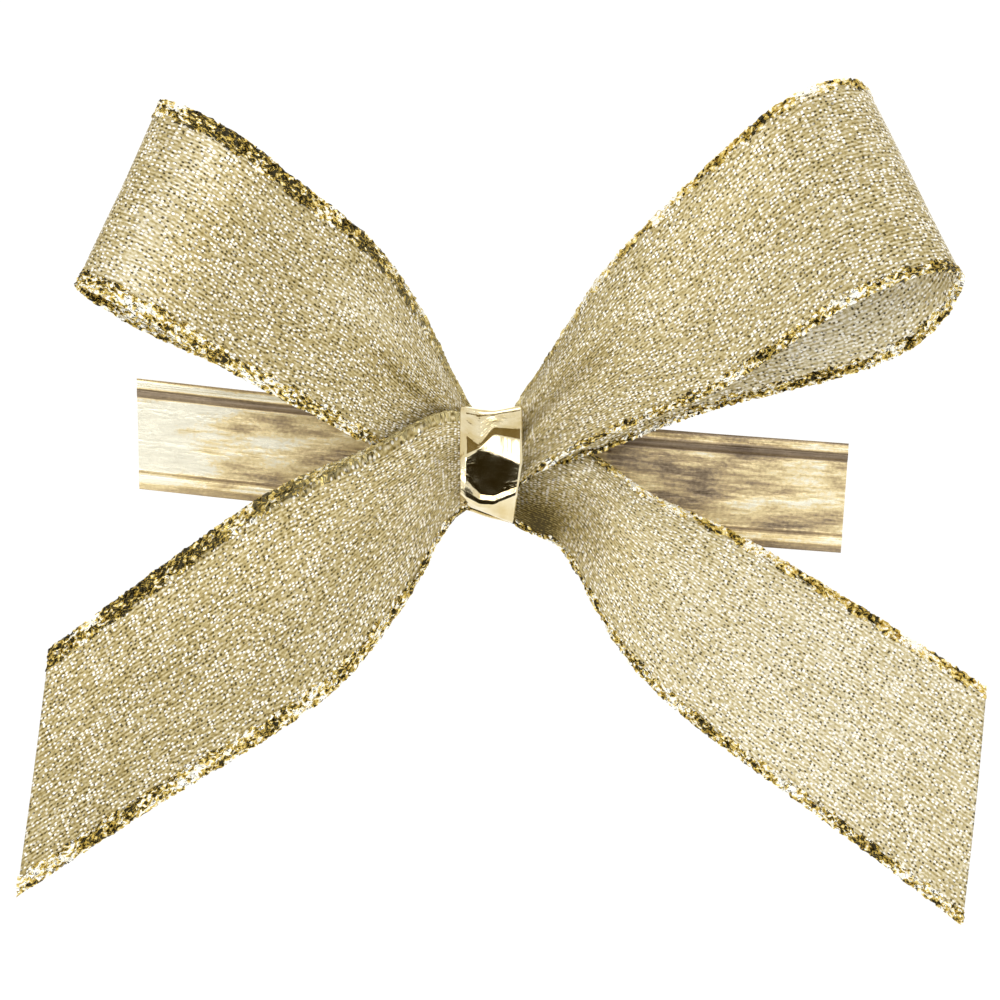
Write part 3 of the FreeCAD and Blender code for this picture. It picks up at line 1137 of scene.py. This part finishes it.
    def build(self, foil: Material, wire: Material) -> list[Object]:
        """Makes every stretch of both films and both wires.

        Args:
            foil: what the films are made of.
            wire: what the wires are made of.

        Returns:
            All the pieces.
        """
        made = []
        for span in self.spans:
            for front, part in ((True, "film_front"), (False, "film_back")):
                piece = self.film_piece(span, front)
                piece.data.materials.append(foil)
                self.join(piece, span, part)
                made.append(piece)
            for side, part in ((1, "wire_upper"), (-1, "wire_lower")):
                piece = self.wire_piece(span, side)
                piece.data.materials.append(wire)
                self.join(piece, span, part)
                made.append(piece)
        return made


# ---- studio


@dataclass(frozen=True)
class SoftBox:
    """A soft light: where it stands, what it looks at, its size and its power."""

    name: str
    place: Point
    size: float
    power: float


@dataclass(frozen=True)
class Card:
    """A dark card for the foil to reflect: where it stands, its width and height, and its colour."""

    place: Point
    width: float
    height: float
    colour: Colour


@dataclass
class Studio:
    """The floor, the pale room, the soft boxes, the dark cards and the camera."""

    lens: float = 350.0
    picture: float = 72.46 * MM
    middle: Point = (0.58 * MM, 0.0, -2.75 * MM)
    floor_drop: float = 28 * MM
    floor_size: float = 30.0
    room_strength: float = 1.06
    boxes: tuple[SoftBox, ...] = (
        SoftBox("key_box", (0.13, -0.15, -0.10), 0.06, 0.14),
        SoftBox("side_box", (-0.19, -0.42, 0.08), 0.08, 0.22),
        SoftBox("top_box", (0.02, -0.12, 0.42), 0.2, 0.30),
        SoftBox("front_box", (0.0, -0.43, 0.155), 0.11, 0.12),
        SoftBox("back_box", (0.1, 0.4, 0.25), 0.3, 0.3),
    )
    cards: tuple[Card, ...] = (
        Card((0.0, -0.46, -0.02), 0.26, 0.20, (0.02, 0.015, 0.006)),
        Card((0.02, -0.34, 0.32), 0.30, 0.10, (0.20, 0.15, 0.06)),
        Card((-0.19, -0.33, 0.31), 0.16, 0.10, (0.20, 0.15, 0.06)),
    )

    def room(self) -> None:
        """Sets the pale room light."""
        world = bpy.data.worlds.new("pale_room")
        world.use_nodes = True
        background = world.node_tree.nodes["Background"]
        background.inputs["Color"].default_value = (1.0, 1.0, 1.0, 1.0)
        background.inputs["Strength"].default_value = self.room_strength
        bpy.context.scene.world = world
        bpy.context.scene.view_settings.view_transform = "Standard"

    def floor(self) -> None:
        """Lays the plain pale floor below the bow."""
        bench = NodeBench("pale_floor", roughness=0.9, metallic=0.0)
        grain = bench.add("TexNoise", {"Scale": 40.0, "Detail": 2.0}).outputs["Fac"]
        bench.feed("Base Color", bench.ramp(grain, ((0.0, (0.97,) * 3), (1.0, (0.99,) * 3))))
        height = CAD_BOX[0][2] - self.floor_drop
        bpy.ops.mesh.primitive_plane_add(size=self.floor_size, location=(0, 0, height))
        floor = bpy.context.object
        floor.name = "floor"
        floor.data.materials.append(bench.material)

    def lights(self) -> None:
        """Hangs the soft boxes, each turned to the bow."""
        for box in self.boxes:
            data = bpy.data.lights.new(box.name, "AREA")
            data.energy = box.power
            data.size = box.size
            lamp = bpy.data.objects.new(box.name, data)
            lamp.location = box.place
            lamp.rotation_euler = (-Vector(box.place)).to_track_quat("-Z", "Y").to_euler()
            bpy.context.scene.collection.objects.link(lamp)

    def dark_cards(self) -> None:
        """Stands the dark cards in front of the bow, where only shiny pieces see them."""
        for number, spec in enumerate(self.cards, start=1):
            bench = NodeBench(f"dark_card_{number}", roughness=1.0, metallic=0.0)
            bench.fix("Base Color", (*spec.colour, 1.0))
            bench.fix("Specular IOR Level", 0.0)
            bpy.ops.mesh.primitive_plane_add(size=1, location=spec.place)
            card = bpy.context.object
            card.name = f"dark_card_{number}"
            card.scale = (spec.width, spec.height, 1)
            card.rotation_euler = (-Vector(spec.place)).to_track_quat("Z", "Y").to_euler()
            card.data.materials.append(bench.material)
            for ray in ("camera", "diffuse", "shadow", "transmission"):
                setattr(card, f"visible_{ray}", False)

    def camera(self) -> None:
        """Stands the camera straight in front of the bow."""
        data = bpy.data.cameras.new("camera")
        data.lens = self.lens
        distance = self.picture / 2 / (data.sensor_width / 2 / data.lens)
        depth = (CAD_BOX[0][1] + CAD_BOX[1][1]) / 2
        camera = bpy.data.objects.new("camera", data)
        camera.location = (self.middle[0], depth - distance, self.middle[2])
        camera.rotation_euler = (math.pi / 2, 0.0, 0.0)
        data.clip_start = 0.01
        bpy.context.scene.collection.objects.link(camera)
        bpy.context.scene.camera = camera

    def build(self) -> None:
        """Sets up the whole studio."""
        self.camera()
        self.room()
        self.floor()
        self.lights()
        self.dark_cards()


def ribbon_lengths() -> list[RibbonLength]:
    """The four lengths of the one ribbon, in the order in which it runs.

    Returns:
        The left tail, right loop, left loop and right tail.
    """
    left_tail = RibbonLength(
        body="left_tail",
        joint="left_tail_swing",
        stations=(
            Station((0.996, 0.547, 0.785), (0.996, 0.577, 0.998), 0.5),
            Station((0.929, 0.398, 0.686), (0.865, 0.428, 0.956), 0.9),
            Station((0.841, 0.339, 0.555), (0.731, 0.339, 0.899), 1.0),
            Station((0.732, 0.398, 0.437), (0.591, 0.339, 0.843), 0.9),
            Station((0.615, 0.517, 0.355), (0.461, 0.398, 0.767), 0.8),
            Station((0.351, 0.755, 0.207), (0.200, 0.577, 0.595), 0.7),
            Station((0.001, 0.933, 0.001), (-0.133, 0.814, 0.372), 0.6),
        ),
        inside=("ribbon_crossing_front",),
        front_side=-1,
        gather=Gather(waves=3.0, start=0.0, height=0.30 * MM, reach=7 * MM),
        upper_glint=Glint.DEEP,
        cut=8.45 * MM,
        pinch=(0.4, 0.95),
        pinch_reach=13 * MM,
        # Painted shade near the band and a faint painted shade down the tail.
        light_and_shade=(PaintedLight(4, 0.5, 6, 1.0, -0.05), PaintedLight(30, 0.5, 15, 1.2, -0.02)),
        seed=3,
    )
    right_loop = RibbonLength(
        body="right_loop",
        joint="right_loop_tilt",
        stations=(
            Station((0.008, 0.807, 0.001), (0.005, 0.819, 0.224), 0.3),
            Station((0.162, 0.680, 0.099), (0.081, 0.680, 0.356), 0.9),
            Station((0.322, 0.471, 0.168), (0.181, 0.471, 0.523), 1.2),
            Station((0.480, 0.263, 0.248), (0.315, 0.286, 0.681), 1.0),
            Station((0.637, 0.124, 0.366), (0.460, 0.147, 0.833), 0.7),
            Station((0.867, 0.147, 0.499), (0.672, 0.182, 0.992), 0.3),
            Station((0.992, 0.518, 0.512), (0.776, 0.541, 0.985), 0.0),
            Station((0.930, 0.923, 0.370), (0.700, 0.923, 0.853), 0.0),
            Station((0.763, 0.958, 0.272), (0.555, 0.958, 0.745), -0.2),
            Station((0.583, 0.958, 0.219), (0.404, 0.958, 0.655), -0.3),
            Station((0.417, 0.958, 0.172), (0.282, 0.958, 0.523), -0.3),
            Station((0.247, 0.958, 0.102), (0.159, 0.958, 0.363), -0.3),
            Station((0.109, 0.958, 0.050), (0.065, 0.958, 0.252), -0.2),
            Station((0.008, 0.970, 0.012), (0.008, 0.970, 0.182), -0.1),
        ),
        inside=("ribbon_crossing_front", "ribbon_crossing_middle"),
        front_side=1,
        gather=Gather(waves=5.0, start=0.2, height=0.42 * MM, reach=12 * MM, drift=0.4),
        upper_glint=Glint.PALE,
        edges=(0.9 * MM, 0.7 * MM),
        pinch=(0.4, 0.9),
        pinch_reach=11 * MM,
        # Painted shade near the band and along a fold line; painted light along the loop, strongest on its
        # inner back half.
        light_and_shade=(
            PaintedLight(3, 0.5, 7, 1.0, -0.08),
            PaintedLight(9, 0.62, 4, 0.07, -0.13),
            PaintedLight(24, 0.5, 14, 1.2, 0.05),
            PaintedLight(52, 0.5, 11, 1.0, 0.31),
        ),
        seed=5,
    )
    left_loop = RibbonLength(
        body="left_loop",
        joint="left_loop_tilt",
        stations=(
            Station((0.989, 0.807, 0.008), (0.993, 0.807, 0.231), 0.1),
            Station((0.829, 0.746, 0.052), (0.936, 0.697, 0.361), 0.5),
            Station((0.668, 0.502, 0.122), (0.825, 0.478, 0.554), 0.9),
            Station((0.504, 0.258, 0.210), (0.704, 0.258, 0.680), 0.9),
            Station((0.340, 0.099, 0.306), (0.565, 0.124, 0.792), 0.7),
            Station((0.147, 0.148, 0.429), (0.372, 0.172, 0.937), 0.3),
            Station((0.007, 0.465, 0.494), (0.228, 0.490, 0.994), 0.0),
            Station((0.106, 0.820, 0.417), (0.340, 0.820, 0.892), 0.0),
            Station((0.326, 0.856, 0.307), (0.540, 0.856, 0.773), -0.2),
            Station((0.525, 0.856, 0.216), (0.700, 0.856, 0.621), -0.3),
            Station((0.704, 0.881, 0.121), (0.847, 0.881, 0.454), -0.3),
            Station((0.868, 0.929, 0.050), (0.939, 0.929, 0.290), -0.2),
            Station((0.989, 0.972, 0.001), (0.989, 0.972, 0.157), -0.1),
        ),
        inside=("ribbon_crossing_middle", "ribbon_crossing_back"),
        front_side=-1,
        gather=Gather(waves=3.0, start=0.5, height=0.50 * MM, reach=12 * MM, drift=0.3),
        upper_glint=Glint.DEEP,
        pinch=(0.4, 0.95),
        pinch_reach=9 * MM,
        # Painted shade near the band and in the valley crease, painted highlights on two pleats, and the
        # painted satin highlight near the fold.
        light_and_shade=(
            PaintedLight(3, 0.5, 7, 1.0, -0.08),
            PaintedLight(6, 0.84, 4.5, 0.10, 0.18),
            PaintedLight(8, 0.52, 4, 0.06, -0.20),
            PaintedLight(13.7, 0.67, 4, 0.12, 0.16),
            PaintedLight(30.2, 0.85, 1.8, 0.3, 0.20),
            PaintedLight(31.2, 0.20, 1.8, 0.4, 0.24),
        ),
        seed=7,
    )
    right_tail = RibbonLength(
        body="right_tail",
        joint="right_tail_swing",
        stations=(
            Station((0.000, 0.900, 0.799), (0.000, 0.918, 0.999), 0.1),
            Station((0.069, 0.839, 0.766), (0.132, 0.807, 0.957), 0.3),
            Station((0.149, 0.553, 0.642), (0.256, 0.553, 0.880), 0.9),
            Station((0.229, 0.394, 0.526), (0.394, 0.394, 0.821), 1.0),
            Station((0.330, 0.331, 0.433), (0.526, 0.331, 0.756), 0.9),
            Station((0.572, 0.394, 0.264), (0.781, 0.394, 0.614), 0.8),
            Station((0.949, 0.521, 0.001), (1.171, 0.521, 0.379), 0.5),
        ),
        inside=("ribbon_crossing_back",),
        front_side=1,
        gather=Gather(waves=3.0, start=0.0, height=0.30 * MM, reach=8 * MM),
        upper_glint=Glint.PALE,
        edges=(0.9 * MM, 0.8 * MM),
        pinch=(0.4, 0.6),
        cut=6.8 * MM,
        throat=(-3.85 * MM, 2.6 * MM),
        # Painted shadow in the cup by the band, and painted light over the rest of the tail.
        light_and_shade=(
            PaintedLight(3.0, 0.08, 2.4, 0.26, -0.55),
            PaintedLight(6.5, 0.35, 3.6, 0.35, -0.24),
            PaintedLight(30, 0.5, 20, 1.2, 0.26),
        ),
        seed=11,
    )
    return [left_tail, right_loop, left_loop, right_tail]


def main() -> None:
    """Builds the studio, the band, the tie and the ribbon, and reports each piece."""
    logging.basicConfig(level=logging.INFO, format="%(name)s: %(message)s")
    Studio().build()
    made = CentreBand().build(MirrorFoil().material())
    made += ClipTie().build(TieFoil().material(), DrawnWire().material())
    weave = LurexWeave().material()
    tinsel = {glint: TinselEdge(glint).material() for glint in Glint}
    for length in ribbon_lengths():
        pieces = length.build(weave, tinsel)
        log.info("%s is %.1f mm of ribbon", length.body, length.length / MM)
        made += pieces
    for piece in made:
        log.info("%s has %d faces", piece.name, len(piece.data.polygons))


if __name__ == "__main__":
    main()
